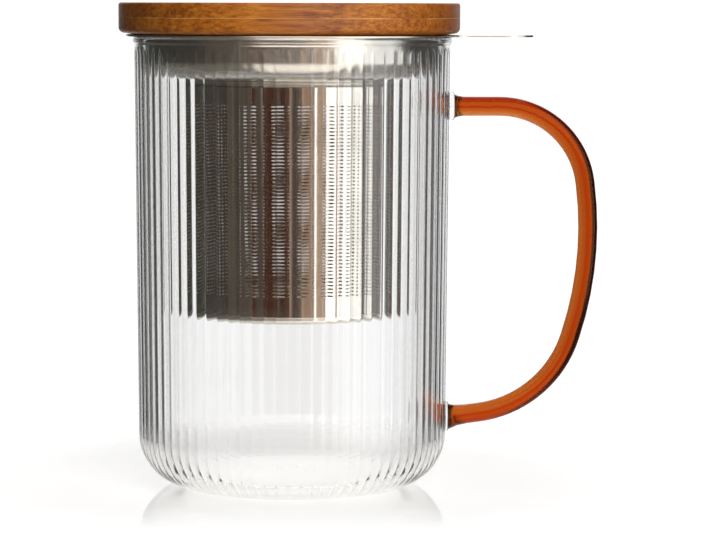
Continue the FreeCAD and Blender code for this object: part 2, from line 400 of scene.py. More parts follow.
class Value:
    """A number in a shader. An operator on it adds a Math node."""

    def __init__(self, shader: "Shader", socket: bpy.types.NodeSocket) -> None:
        """Wraps the output socket that carries the number."""
        self.shader = shader
        self.socket = socket

    def math(self, operation: str, *others: "Value | float") -> "Value":
        """Adds a Math node that takes this value first.

        Args:
            operation: The node's operation.
            *others: Its further inputs.

        Returns:
            The node's result.
        """
        inputs = dict(enumerate((self, *others)))
        return self.shader.node("ShaderNodeMath", {"operation": operation}, inputs)

    def __add__(self, other: "Value | float") -> "Value":
        """Adds."""
        return self.math("ADD", other)

    __radd__ = __add__

    def __mul__(self, other: "Value | float") -> "Value":
        """Multiplies."""
        return self.math("MULTIPLY", other)

    __rmul__ = __mul__

    def __sub__(self, other: "Value | float") -> "Value":
        """Takes another value away."""
        return self.math("SUBTRACT", other)

    def __rsub__(self, other: float) -> "Value":
        """Takes this value away from a number."""
        return (self * -1.0) + other

    def __truediv__(self, other: float) -> "Value":
        """Divides by a number."""
        return self * (1.0 / other)

    def __pow__(self, power: float) -> "Value":
        """Raises to a power."""
        return self.math("POWER", power)

    def band(self, low: float, high: float) -> "Value":
        """Rises smoothly from 0 at low to 1 at high, or falls if high is the lower.

        Args:
            low: Where the result is 0.
            high: Where it is 1.

        Returns:
            The result, which stays at 0 or 1 beyond the two.
        """
        settings = {"interpolation_type": "SMOOTHSTEP"}
        inputs = {"Value": self, "From Min": low, "From Max": high}
        return self.shader.node("ShaderNodeMapRange", settings, inputs)


class Shader:
    """The nodes of one material, or of the world."""

    def __init__(self, tree: bpy.types.NodeTree) -> None:
        """Starts from an empty tree."""
        self.tree = tree
        tree.nodes.clear()

    def node(
        self,
        kind: str,
        settings: dict[str, object] | None = None,
        inputs: dict[str | int, object] | None = None,
        output: str | int = 0,
    ) -> Value:
        """Adds a node.

        Args:
            kind: The node's type.
            settings: Properties that are set before the sockets; stops go to its ramp.
            inputs: Values or links, by a socket's place, identifier or name.
            output: The socket that is returned.

        Returns:
            The output, for use in expressions.
        """
        node = self.tree.nodes.new(kind)
        for name, value in (settings or {}).items():
            if name == "stops":
                self._set_stops(node.color_ramp, value)
            else:
                setattr(node, name, value)
        for key, value in (inputs or {}).items():
            socket = self._socket(node.inputs, key)
            if isinstance(value, Value):
                self.tree.links.new(value.socket, socket)
            else:
                socket.default_value = value
        outputs = node.outputs
        return Value(self, self._socket(outputs, output)) if len(outputs) else Value(self, None)

    @staticmethod
    def _socket(sockets: bpy.types.bpy_prop_collection, key: str | int) -> bpy.types.NodeSocket:
        """Finds a socket by its place, identifier or name.

        Args:
            sockets: A node's inputs or outputs.
            key: The place, identifier or name.

        Returns:
            The socket.
        """
        if isinstance(key, int):
            return sockets[key]
        for socket in sockets:
            if socket.identifier == key:
                return socket
        return sockets[key]

    @staticmethod
    def _set_stops(ramp: bpy.types.ColorRamp, stops: Sequence[tuple[float, Colour]]) -> None:
        """Gives a colour ramp its stops.

        Args:
            ramp: The ramp.
            stops: The place and colour of each stop, in order.
        """
        while len(ramp.elements) < len(stops):
            ramp.elements.new(1.0)
        for element, (place, colour) in zip(ramp.elements, stops):
            element.position = place
            element.color = (*colour, 1.0)

    def place(self) -> Value:
        """Where a point is, in the object's own coordinates."""
        return self.node("ShaderNodeTexCoord", output="Object")

    def axes(self, vector: Value) -> tuple[Value, Value, Value]:
        """Splits a vector.

        Args:
            vector: The vector.

        Returns:
            Its three numbers.
        """
        first = self.node("ShaderNodeSeparateXYZ", inputs={0: vector}, output="X")
        sockets = first.socket.node.outputs
        return first, Value(self, sockets["Y"]), Value(self, sockets["Z"])

    def point(self, x: Value | float, y: Value | float, z: Value | float) -> Value:
        """A vector of three numbers."""
        return self.node("ShaderNodeCombineXYZ", inputs={0: x, 1: y, 2: z})

    def stretch(self, vector: Value, by: Sequence[float]) -> Value:
        """Scales a place along each axis, for a pattern that is longer one way."""
        return self.node("ShaderNodeMapping", inputs={"Vector": vector, "Scale": by})

    def noise(self, vector: Value, scale: float, detail: float = 2.0, roughness: float = 0.5) -> Value:
        """Noise from 0 to 1."""
        inputs = {"Vector": vector, "Scale": scale, "Detail": detail, "Roughness": roughness}
        return self.node("ShaderNodeTexNoise", inputs=inputs)

    def ramp(self, value: Value, stops: Sequence[tuple[float, Colour]]) -> Value:
        """A colour for each value."""
        return self.node("ShaderNodeValToRGB", {"stops": stops}, {0: value})

    def mix(
        self, share: Value | float, first: Value | Colour, second: Value | Colour
    ) -> Value:
        """Mixes two colours.

        Args:
            share: 0 for the first colour, 1 for the second.
            first: The first colour.
            second: The second one.

        Returns:
            The mixed colour.
        """
        colours = [c if isinstance(c, Value) else (*c, 1.0) for c in (first, second)]
        inputs = {"Factor_Float": share, "A_Color": colours[0], "B_Color": colours[1]}
        return self.node("ShaderNodeMix", {"data_type": "RGBA"}, inputs, "Result_Color")

    def bump(self, height: Value, distance: float) -> Value:
        """A normal from a height."""
        inputs = {"Height": height, "Distance": distance, "Strength": 1.0}
        return self.node("ShaderNodeBump", inputs=inputs)

    def principled(self, **inputs: object) -> Value:
        """The main surface shader, with its sockets given as words joined by underscores."""
        named = {name.replace("_", " "): value for name, value in inputs.items()}
        return self.node("ShaderNodeBsdfPrincipled", inputs=named)

    def output(self, surface: Value, volume: Value | None = None, kind: str = "Material") -> None:
        """Ends the tree in its output node.

        Args:
            surface: The surface's shader, or the world's background.
            volume: The shader of the inside, where there is one.
            kind: Material or World.
        """
        inputs = {"Surface": surface}
        if volume is not None:
            inputs["Volume"] = volume
        self.node("ShaderNodeOutput" + kind, inputs=inputs)


def new_material(name: str) -> tuple[bpy.types.Material, Shader]:
    """Makes a material.

    Args:
        name: Its name.

    Returns:
        The material and its shader, still empty.
    """
    material = bpy.data.materials.new(name)
    material.use_nodes = True
    return material, Shader(material.node_tree)


@dataclass(frozen=True)
class ClearGlass:
    """Blown clear glass, faintly wavy, with a breath of warm grey in its depth."""

    name: str = "clear_glass"
    ior: float = 1.474
    surface: Colour = (0.990, 0.990, 0.992)
    depth_colour: Colour = (0.72, 0.71, 0.66)
    density: float = 22.0
    wave_scale: float = 60.0
    wave_rise: float = 0.35
    wave_height: float = 0.02 * MM
    film_scale: float = 45.0
    film_patch: Fade = (0.55, 0.8)
    film_tint: float = 0.99
    film_low: float = 0.0
    film_high: float = 0.035

    def build(self) -> bpy.types.Material:
        """Makes the material.

        Returns:
            The material.
        """
        material, shader = new_material(self.name)
        place = shader.place()
        wave = shader.noise(shader.stretch(place, (1, 1, self.wave_rise)), self.wave_scale, 2.0)
        film = shader.noise(place, self.film_scale, 4.0, 0.6).band(*self.film_patch)
        tint = shader.mix(film, self.surface, tuple(self.film_tint * c for c in self.surface))
        surface = shader.principled(
            Base_Color=tint,
            Roughness=film * (self.film_high - self.film_low) + self.film_low,
            IOR=self.ior,
            Transmission_Weight=1.0,
            Normal=shader.bump(wave, self.wave_height),
        )
        inputs = {"Color": (*self.depth_colour, 1.0), "Density": self.density}
        shader.output(surface, shader.node("ShaderNodeVolumeAbsorption", inputs=inputs))
        return material


@dataclass(frozen=True)
class AmberGlass:
    """A solid amber glass rod, paler along the inside of its D and darker outside.

    The tint's paler inside is painted light and its darker outside is painted shade; the real glass
    may be even.
    """

    name: str = "amber_glass"
    ior: float = 1.474
    pale: Colour = (0.80, 0.80, 0.55)
    core: Colour = (0.54, 0.13, 0.03)
    painted_shade: Colour = (0.30, 0.02, 0.005)
    depth_colour: Colour = (0.91, 0.54, 0.04)
    shine: Colour = (0.9, 0.35, 0.08)
    density: float = 460.0
    painted_shade_to: float = 0.14
    core_from: float = 0.38
    core_to: float = 0.60
    painted_light_from: float = 0.86
    wave_scale: float = 120.0
    wave_height: float = 0.015 * MM
    haze: float = 0.02
    drawn_scale: float = 300.0
    drawn_rise: float = 0.2
    drawn_share: float = 0.04
    middle_x: float = 58.0 * MM
    middle_z: float = 60.0 * MM

    def build(self) -> bpy.types.Material:
        """Makes the material.

        Returns:
            The material.
        """
        material, shader = new_material(self.name)
        place = shader.place()
        wave = shader.noise(place, self.wave_scale, 2.0)
        lengthened = shader.stretch(place, (1, 1, self.drawn_rise))
        drawn = shader.noise(lengthened, self.drawn_scale, 3.0)
        x, _, z = shader.axes(place)
        facing_x, _, facing_z = shader.axes(shader.node("ShaderNodeNewGeometry", output="Normal"))
        leaving = shader.node("ShaderNodeNewGeometry", output="Backfacing")
        in_x = (x - self.middle_x) * -1.0
        in_z = (z - self.middle_z) * -1.0
        reach = (in_x * in_x + in_z * in_z) ** 0.5
        inward = (facing_x * in_x + facing_z * in_z) * reach ** -1.0 * (leaving * -2.0 + 1.0)
        # Painted light along the inside of the D and painted shade along its outside, by which way
        # each face looks.
        tint = shader.ramp(
            inward * 0.5 + 0.5 + drawn * self.drawn_share,
            [
                (self.painted_shade_to, self.painted_shade),
                (self.core_from, self.core),
                (self.core_to, self.core),
                (self.painted_light_from, self.pale),
            ],
        )
        surface = shader.principled(
            Base_Color=tint,
            Roughness=wave.band(0.55, 0.8) * self.haze,
            IOR=self.ior,
            Transmission_Weight=1.0,
            Specular_Tint=(*self.shine, 1.0),
            Normal=shader.bump(wave, self.wave_height),
        )
        inputs = {"Color": (*self.depth_colour, 1.0), "Density": self.density}
        shader.output(surface, shader.node("ShaderNodeVolumeAbsorption", inputs=inputs))
        return material


@dataclass(frozen=True)
class Steel:
    """Stainless steel with fine lathe or rolling lines and a little wear."""

    name: str
    colour: Colour
    roughness: float
    line_height: float
    line_scale: float
    upright: bool = False
    upright_share: float = 40.0
    cloud_scale: float = 70.0
    cloud_shade: float = 0.86
    wear_scale: float = 400.0
    wear_dull: float = 0.03

    def build(self) -> bpy.types.Material:
        """Makes the material.

        Returns:
            The material.
        """
        material, shader = new_material(self.name)
        place = shader.place()
        x, y, z = shader.axes(place)
        radius = (x * x + y * y) ** 0.5
        if self.upright:
            along = self.line_scale / self.upright_share
            run = shader.point(x * self.line_scale, y * self.line_scale, z * along)
        else:
            run = shader.point(radius * self.line_scale, 0.0, z * self.line_scale)
        lines = shader.noise(run, 1.0, 3.0, 0.6)
        cloud = shader.noise(place, self.cloud_scale, 4.0, 0.55)
        wear = shader.noise(place, self.wear_scale, 3.0, 0.6).band(0.58, 0.72)
        dark = tuple(self.cloud_shade * c for c in self.colour)
        base = shader.mix(cloud.band(0.35, 0.7), self.colour, dark)
        rough = lines * 0.5 + cloud * 0.5
        least = 0.75 * self.roughness
        surface = shader.principled(
            Base_Color=base,
            Metallic=1.0,
            Roughness=rough * (0.5 * self.roughness) + wear * self.wear_dull + least,
            Normal=shader.bump(lines, self.line_height),
        )
        shader.output(surface)
        return material


@dataclass(frozen=True)
class Bamboo:
    """Pressed bamboo boards: strips side by side, long fibres and an oiled surface.

    The boards turn browner towards +X, from end_from to end_to, which stands in for shade.
    """

    name: str
    pale: Colour
    gold: Colour
    brown: Colour
    glue: Colour
    joint_z: float
    strip_width: float = 7.0 * MM
    strip_shift: float = 0.3
    strip_shade: float = 0.22
    streak_run: Corner = (28, 900, 1100)
    fibre_run: Corner = (160, 3600, 3600)
    cloud_run: Corner = (22, 60, 120)
    streak_share: float = 0.72
    cloud_share: float = 0.28
    fibre_dark: float = 0.6
    end_from: float = 32.0 * MM
    end_to: float = 45.0 * MM
    end_shade: float = 0.65
    glue_height: float = 0.14 * MM
    glue_share: float = 0.85
    dry: float = 0.50
    fibre_shine: float = 0.22
    ior: float = 1.42
    grain_height: float = 0.11 * MM

    def build(self) -> bpy.types.Material:
        """Makes the material.

        Returns:
            The material.
        """
        material, shader = new_material(self.name)
        place = shader.place()
        x, y, z = shader.axes(place)
        strip = (y / self.strip_width).math("FLOOR")
        board = (z - self.joint_z).math("GREATER_THAN", 0.0)
        tone = shader.node(
            "ShaderNodeTexWhiteNoise", {"noise_dimensions": "2D"},
            {"Vector": shader.point(strip, board, 0.0)}, "Value",
        )
        shifted = shader.point(x + tone * self.strip_shift, y, z)
        streak = shader.noise(shader.stretch(shifted, self.streak_run), 1.0, 4.0, 0.65)
        fibre = shader.noise(shader.stretch(shifted, self.fibre_run), 1.0, 2.0, 0.6)
        cloud = shader.noise(shader.stretch(shifted, self.cloud_run), 1.0, 2.0)
        wood = shader.ramp(
            streak * self.streak_share + cloud * self.cloud_share,
            [(0.36, self.brown), (0.50, self.gold), (0.64, self.pale)],
        )
        wood = shader.mix(fibre.band(0.44, 0.32) * self.fibre_dark, wood, self.brown)
        end = x.band(self.end_from, self.end_to) * self.end_shade
        wood = shader.mix((1 - tone) * self.strip_shade + end, wood, self.brown)
        off = (z - self.joint_z).math("ABSOLUTE")
        line = off.band(self.glue_height, 0.4 * self.glue_height) * cloud.band(0.35, 0.6)
        base = shader.mix(line * self.glue_share, wood, self.glue)
        surface = shader.principled(
            Base_Color=base,
            Roughness=self.dry - fibre * self.fibre_shine,
            IOR=self.ior,
            Normal=shader.bump(fibre * 0.7 + streak * 0.3, self.grain_height),
        )
        shader.output(surface)
        return material


@dataclass(frozen=True)
class Silicone:
    """Soft milky silicone."""

    name: str = "silicone"
    colour: Colour = (0.82, 0.82, 0.79)
    cloud_scale: float = 120.0
    cloud_shade: float = 0.9
    grain_scale: float = 2500.0
    grain_height: float = 0.01 * MM
    dull: float = 0.42
    cloud_dull: float = 0.15

    def build(self) -> bpy.types.Material:
        """Makes the material.

        Returns:
            The material.
        """
        material, shader = new_material(self.name)
        place = shader.place()
        cloud = shader.noise(place, self.cloud_scale, 3.0)
        grain = shader.noise(place, self.grain_scale, 2.0)
        shade = tuple(self.cloud_shade * c for c in self.colour)
        surface = shader.principled(
            Base_Color=shader.mix(cloud, self.colour, shade),
            Roughness=cloud * self.cloud_dull + self.dull,
            Normal=shader.bump(grain, self.grain_height),
        )
        shader.output(surface)
        return material


@dataclass
class RibbedMug:
    """The clear mug: flat base, rounded corner, ribbed wall and swelled rim."""

    height: float = 121.0 * MM
    top_r: float = 42.45 * MM
    draft: float = math.radians(0.46)
    wall: float = 2.2 * MM
    base: float = 3.0 * MM
    corner_r: float = 14.0 * MM
    inner_corner_r: float = 11.0 * MM
    rim_r: float = 42.9 * MM
    rim_height: float = 2.1 * MM
    rim_swell: float = 0.7 * MM
    rim_edge_r: float = 0.9 * MM
    rib_count: int = 82
    rib_depth: float = 0.25 * MM
    crest_flat: float = 0.3 * MM
    rib_top_gap: float = 2.7 * MM
    runout_r: float = 12.0 * MM
    rib_fade: float = 0.06 * MM
    runout_rings: int = 14
    steps_per_rib: int = 12

    def wall_r(self, z: float, inside: float = 0.0) -> float:
        """Radius of the rib crests at a height, or of a line that far inside them."""
        top = self.height - self.rim_height
        return self.top_r - (top - z) * math.tan(self.draft) - inside / math.cos(self.draft)

    @property
    def runout_low(self) -> float:
        """Height where the grooves start to run out."""
        turn = math.acos(1 - self.rib_depth / self.runout_r)
        return self.height - self.rib_top_gap - self.runout_r * math.sin(turn)

    def outline(self) -> list[Corner]:
        """Draws the mug's section.

        Returns:
            Its corners, from the middle of the base round the rim to the floor inside.
        """
        top = self.height - self.rim_height
        tip = self.height - self.rib_top_gap
        swell = self.rim_swell / 2
        rings = [
            self.runout_low + (tip - self.runout_low) * ring / self.runout_rings
            for ring in range(self.runout_rings + 1)
        ]
        return [
            (0, 0, 0),
            (self.wall_r(0), 0, self.corner_r),
            *((self.wall_r(z), z, 0) for z in rings),
            (self.top_r, top, swell),
            (self.rim_r, top + self.rim_swell, swell),
            (self.rim_r, self.height, self.rim_edge_r),
            (self.wall_r(self.height, self.wall), self.height, self.rim_edge_r),
            (self.wall_r(self.base, self.wall), self.base, self.inner_corner_r),
            (0, self.base, 0),
        ]

    def valley_reach(self, r: float, z: float) -> float:
        """Depth of the grooves' valleys at a place of the wall.

        Args:
            r: The place's radius.
            z: Its height.

        Returns:
            The depth, which is negative where the grooves have run out.
        """
        if z > self.runout_low:
            across = min(z - self.runout_low, self.runout_r)
            return self.rib_depth - self.runout_r + math.sqrt(self.runout_r**2 - across**2)
        if z > self.corner_r:
            return self.rib_depth
        centre_r = self.wall_r(self.corner_r) - self.corner_r
        level = max(0.0, (r - centre_r) / self.corner_r)
        return (self.rib_depth + self.rib_fade) * min(1.0, level) - self.rib_fade

    def groove_share(self, place: Vector) -> float:
        """Works out how deep the wall lies under the rib crests.

        Args:
            place: A place of the wall.

        Returns:
            The depth there, as a share of the full depth.
        """
        r = math.hypot(place.x, place.y)
        centre_r = self.wall_r(self.corner_r) - self.corner_r
        if place.z > self.corner_r:
            inside = self.wall_r(place.z) - r
        else:
            inside = self.corner_r - math.hypot(r - centre_r, self.corner_r - place.z)
        if inside > self.wall / 2 or r < centre_r or place.z > self.height - self.rib_top_gap:
            return 0.0
        pitch = 2 * math.pi / self.rib_count
        turn = (math.atan2(place.y, place.x) + math.pi / 2) % pitch
        aside = r * min(turn, pitch - turn)
        half_pitch = math.pi * self.top_r / self.rib_count
        half_flat = self.crest_flat / 2
        centre_out = (self.rib_depth**2 - half_pitch**2 + half_flat**2) / (2 * self.rib_depth)
        back_r = math.hypot(centre_out, half_pitch)
        rise = self.rib_depth
        if aside < half_pitch - half_flat:
            rise = centre_out + math.sqrt(back_r**2 - (half_pitch - aside) ** 2)
        return max(0.0, self.valley_reach(r, place.z) - rise) / self.rib_depth

    def build(self, glass: bpy.types.Material) -> bpy.types.Object:
        """Turns the mug and sinks its grooves.

        Args:
            glass: The clear glass.

        Returns:
            The mug.
        """
        steps = self.rib_count * self.steps_per_rib
        piece = Piece.turned("ribbed_glass", self.outline(), steps)
        piece.weigh("grooves", self.groove_share)
        piece.modifier("DISPLACE", vertex_group="grooves", mid_level=0.0, strength=-self.rib_depth)
        return piece.finish(Body.MUG, ["mug_body"], Slot.CLEAR_GLASS, glass, 40.0)


@dataclass
class Handle:
    """The amber rod, bent to a D, and the two clear welds that hold it to the mug."""

    mug: RibbedMug
    rod_r: float = 2.6 * MM
    top_z: float = 102.4 * MM
    low_z: float = 18.2 * MM
    top_corner: Point = (76.2 * MM, 102.4 * MM)
    back_corner: Point = (81.8 * MM, 60.7 * MM)
    low_corner: Point = (69.4 * MM, 21.8 * MM)
    bends: Sequence[float] = (23.4 * MM, 94.0 * MM, 30.0 * MM)
    bend_turn: float = 4.0
    top_flare: float = 0.6 * MM
    top_flares: Sequence[Point] = ((0.35, 0.45), (1.0, 0.0))
    low_flares: Sequence[Point] = ((0.6, 0.1), (0.85, 0.25), (1.0, 0.4))
    foot_length: float = 2.4 * MM
    weld_r: Sequence[float] = (3.8 * MM, 4.2 * MM)
    weld_stand: Sequence[float] = (1.3 * MM, 0.7 * MM)
    weld_edge_r: float = 0.4 * MM
    weld_gap: float = 0.02 * MM
    weld_reach: float = 3.0 * MM
    weld_rings: int = 10
    sides: int = 40
    weld_sides: int = 64

    def route(self) -> list[Vector]:
        """Works out the rod's line.

        Returns:
            Its corners, from the upper foot to the lower one.
        """
        ends = [
            (self.mug.wall_r(self.top_z) + self.weld_stand[0], self.top_z),
            (self.mug.wall_r(self.low_z) + self.weld_stand[1], self.low_z),
        ]
        corners = [ends[0], self.top_corner, self.back_corner, self.low_corner, ends[1]]
        return [Vector((x, 0, z)) for x, z in corners]

    @staticmethod
    def _flare(
        piece: Piece, start: Vector, end: Vector, size: float, sections: Sequence[Point]
    ) -> None:
        """Extrudes the rod's open end along a straight run whose thickness changes.

        Args:
            piece: The rod, with its open end selected.
            start: Where the open end lies.
            end: Where the run ends.
            size: How thick the open end is, as a share of the rod.
            sections: The share of the run, and the extra thickness there, of each ring.
        """
        place = start
        for share, extra in sections:
            spot = start + (end - start) * share
            piece.grow(spot - place)
            piece.scale([(1 + extra) / size] * 3, spot)
            place = spot
            size = 1 + extra

    def rod(self, amber: bpy.types.Material) -> bpy.types.Object:
        """Draws the rod along its line: straight runs are extruded and bends are spun.

        Args:
            amber: The amber glass.

        Returns:
            The rod.
        """
        route = self.route()
        flare = self.top_flare / self.rod_r
        radius = self.rod_r + self.top_flare
        piece = Piece.ring("amber_rod", route[0], radius, self.sides, math.pi / 2)
        place = route[0] + Vector((self.foot_length, 0, 0))
        sections = [(share, flare * extra) for share, extra in self.top_flares]
        self._flare(piece, route[0], place, 1 + flare, sections)
        for before, corner, after, bend in zip(route, route[1:], route[2:], self.bends):
            start, end, centre, turn = fillet(before, corner, after, bend)
            if (start - place).length > self.rod_r / 10:
                piece.grow(start - place)
            steps = math.ceil(math.degrees(turn) / self.bend_turn)
            bpy.ops.mesh.spin(steps=steps, angle=turn, center=centre, axis=(0, -1, 0))
            place = end
        foot = route[-1]
        near = foot - (foot - place).normalized() * 2 * self.foot_length
        piece.grow(near - place)
        self._flare(piece, near, foot, 1.0, self.low_flares)
        piece.scale((0, 1, 1), foot)
        bpy.ops.mesh.edge_face_add()
        piece.select(lambda p: p.x < route[0].x + HAIR and p.z > self.mug.height / 2)
        bpy.ops.mesh.edge_face_add()
        piece.merged()
        return piece.finish(Body.MUG, ["handle"], Slot.AMBER_GLASS, amber, 50.0)

    def weld(
        self, name: str, index: int, mug: bpy.types.Object, glass: bpy.types.Material
    ) -> bpy.types.Object:
        """Makes a clear weld whose back is pressed onto the ribs.

        Args:
            name: The node that it stands for.
            index: 0 for the upper weld and 1 for the lower one.
            mug: The ribbed mug.
            glass: The clear glass.

        Returns:
            The weld.
        """
        z = (self.top_z, self.low_z)[index]
        radius = self.weld_r[index]
        face = self.mug.wall_r(z) + self.weld_stand[index]
        back = face - self.weld_stand[index] - self.weld_gap
        edge = min(self.weld_edge_r, self.weld_stand[index] * 0.6)
        rings = self.weld_rings
        corners = [(0, face, 0), (radius, face, edge), (radius, back, 0)]
        corners += [(radius * (rings - ring) / rings, back, 0) for ring in range(1, rings)]
        corners += [(0, back, 0)]
        piece = Piece.turned(name + "_glass", corners, self.weld_sides, 15.0)
        piece.turn(math.pi / 2, "Y")
        bpy.ops.transform.translate(value=(0, 0, z))
        piece.weigh("back", lambda p: 1.0 if p.x < back + self.weld_gap else 0.0)
        piece.modifier(
            "SHRINKWRAP", vertex_group="back", target=mug, wrap_method="PROJECT",
            use_project_x=True, use_negative_direction=True, use_positive_direction=True,
            project_limit=self.weld_reach, offset=self.weld_gap,
        )
        return piece.finish(Body.MUG, [name], Slot.CLEAR_GLASS, glass, 40.0)

    def build(
        self, mug: bpy.types.Object, glass: bpy.types.Material, amber: bpy.types.Material
    ) -> None:
        """Makes the rod and both welds.

        Args:
            mug: The ribbed mug.
            glass: The clear glass.
            amber: The amber glass.
        """
        self.rod(amber)
        self.weld("upper_handle_weld", 0, mug, glass)
        self.weld("lower_handle_weld", 1, mug, glass)


@dataclass
class Infuser:
    """The steel infuser: a pressed dish with a tab, a perforated wall and its floor."""

    mug: RibbedMug
    sheet: float = 0.5 * MM
    flange_r: float = 44.7 * MM
    dish_r: float = 39.5 * MM
    dish_depth: float = 11.1 * MM
    shoulder_r: float = 5.0 * MM
    flange_bend_r: float = 0.8 * MM
    neck_r: float = 28.6 * MM
    neck_depth: float = 5.6 * MM
    neck_bend_r: float = 0.4 * MM
    bead_r: float = 0.3 * MM
    bead_pitch: float = 0.8 * MM
    beads: int = 2
    tab_reach: float = 64.75 * MM
    tab_width: float = 18.0 * MM
    tab_root_r: float = 5.0 * MM
    sheet_edge_r: float = 0.12 * MM
    dish_steps: int = 264
    tab_root_steps: int = 5
    tab_tip_steps: int = 12
    filter_sheet: float = 0.4 * MM
    bottom_z: float = 46.3 * MM
    base_height: float = 1.9 * MM
    base_edge_r: float = 1.1 * MM
    base_joint_r: float = 0.1 * MM
    lip: float = 3.0 * MM
    weld_gap: float = 0.05 * MM
    hole_width: float = 0.54 * MM
    rows: int = 54
    columns: int = 192
    wall_pieces: Sequence[str] = ("steel_filter_front", "steel_filter_back", "steel_filter_side")
    filter_skin: float = 0.22 * MM
    floor_sides: int = 192
    holes_top: float = 103.5 * MM
    holes_low: float = 53.2 * MM
    seam_azimuth: float = math.radians(240.0)
    seam_width: float = 3.5 * MM

    @property
    def step_z(self) -> float:
        """Height of the outside of the dish's floor."""
        return self.mug.height - self.dish_depth

    def dish(self, satin: bpy.types.Material) -> bpy.types.Object:
        """Turns the dish, draws its tab out of the flange and gives the sheet its thickness.

        Args:
            satin: The dish's steel.

        Returns:
            The dish.
        """
        neck_low = self.step_z - self.neck_depth
        line = [
            (self.flange_r, self.mug.height, 0),
            (self.dish_r, self.mug.height, self.flange_bend_r),
            (self.dish_r, self.step_z, self.shoulder_r),
            (self.neck_r, self.step_z, self.neck_bend_r),
        ]
        for bead in range(self.beads):
            z = self.step_z - self.neck_bend_r - self.bead_r - bead * self.bead_pitch
            line += [
                (self.neck_r, z + self.bead_r, self.bead_r / 3),
                (self.neck_r + self.bead_r, z, self.bead_r / 2),
                (self.neck_r, z - self.bead_r, self.bead_r / 3),
            ]
        line.append((self.neck_r, neck_low, 0))
        piece = Piece.turned("steel_dish", line, self.dish_steps, 10.0)
        self._draw_tab(piece)
        flange = self.mug.height - HAIR
        piece.face_out(lambda face: -face.normal.z if face.center.z > flange else 0.0)
        piece.modifier("SOLIDIFY", thickness=self.sheet, offset=-1.0)
        piece.modifier(
            "BEVEL", width=self.sheet_edge_r, segments=2, limit_method="ANGLE",
            angle_limit=math.radians(60),
        )
        return piece.finish(Body.INFUSER, ["infuser_dish"], Slot.STEEL, satin, 35.0)

    def _draw_tab(self, piece: Piece) -> None:
        """Draws the tab out of the flange's edge, section by section.

        Args:
            piece: The turned dish, still without thickness.
        """
        half = self.tab_width / 2
        root_y = half + self.tab_root_r
        root_x = math.sqrt((self.flange_r + self.tab_root_r) ** 2 - root_y**2)
        start_turn = math.asin(root_y / (self.flange_r + self.tab_root_r))
        width = self.flange_r * math.sin(start_turn)
        end_x = self.flange_r * math.cos(start_turn)
        limit = width + MARGIN
        rim = self.flange_r - MARGIN
        piece.select(lambda p: p.x > 0 and abs(p.y) < limit and math.hypot(p.x, p.y) > rim)
        sections = []
        for step in range(1, self.tab_root_steps + 1):
            left = 1 - step / self.tab_root_steps
            angle = (math.pi / 2 - start_turn) * left
            sections.append((
                root_x - self.tab_root_r * math.sin(angle),
                root_y - self.tab_root_r * math.cos(angle),
                left,
            ))
        tip_x = self.tab_reach - half
        for step in range(self.tab_tip_steps + 1):
            angle = math.pi / 2 * step / self.tab_tip_steps
            sections.append((tip_x + half * math.sin(angle), half * math.cos(angle), 0))
        z = self.mug.height
        bow = 1.0
        for x, y, new_bow in sections:
            piece.grow((x - end_x, 0, 0))
            piece.scale((new_bow / bow if bow else 1, y / width, 1), (x, 0, z))
            end_x, width, bow = x, y, new_bow
        piece.merged()

    def _hole_cell(self, name: str) -> Piece:
        """Makes one cell of a perforated sheet, with an eight-sided hole.

        Args:
            name: The piece's name.

        Returns:
            The cell, lying in the XZ plane round the origin.
        """
        clear_bench()
        bpy.ops.mesh.primitive_circle_add(
            vertices=8, radius=self.pitch / 2, fill_type="NGON", rotation=(math.pi / 2, 0, 0)
        )
        piece = Piece(name)
        bpy.ops.mesh.select_all(action="SELECT")
        bpy.ops.mesh.inset(thickness=(self.pitch - self.hole_width) / 2)
        bpy.ops.mesh.delete(type="FACE")
        near = 0.4 * self.pitch
        piece.select(lambda p: p.length > near and min(abs(p.x), abs(p.z)) > 0.1 * self.pitch)
        piece.scale((math.sqrt(2), 1, math.sqrt(2)), (0, 0, 0))
        bpy.ops.mesh.select_all(action="SELECT")
        piece.scale((1, 1, self.row_pitch / self.pitch), (0, 0, 0))
        return piece

    @property
    def row_pitch(self) -> float:
        """The gap between two rows of holes."""
        return (self.holes_top - self.holes_low) / self.rows

    @property
    def filter_r(self) -> float:
        """The filter's outer radius."""
        return self.neck_r + self.weld_gap + self.filter_sheet

    @property
    def pitch(self) -> float:
        """The gap between two holes of a row, round the filter."""
        return (2 * math.pi * self.filter_r - self.seam_width) / self.columns

    def _field(self, name: str, columns: int, rows: int) -> Piece:
        """Repeats the cell over a flat field of holes.

        Args:
            name: The piece's name.
            columns: Holes in a row.
            rows: Rows.

        Returns:
            The field, with the middle of its first hole at the origin.
        """
        piece = self._hole_cell(name)
        gap = 0.02 * MM
        shared = {
            "use_relative_offset": False, "use_constant_offset": True,
            "use_merge_vertices": True, "merge_threshold": gap,
        }
        across = (self.pitch, 0, 0)
        up = (0, 0, self.row_pitch)
        piece.modifier("ARRAY", count=columns, constant_offset_displace=across, **shared)
        piece.modifier("ARRAY", count=rows, constant_offset_displace=up, **shared)
        return piece.merged(gap)

    def _in_hole(self, place: Vector) -> bool:
        """Tells a hole's edge from the rest of a flat field.

        Args:
            place: A point of the field.

        Returns:
            Whether it lies on the edge of a hole.
        """
        across = place.x / self.pitch
        up = place.z / self.row_pitch
        aside = (across - round(across)) * self.pitch
        above = (up - round(up)) * self.row_pitch
        return math.hypot(aside, above) < 0.6 * self.hole_width

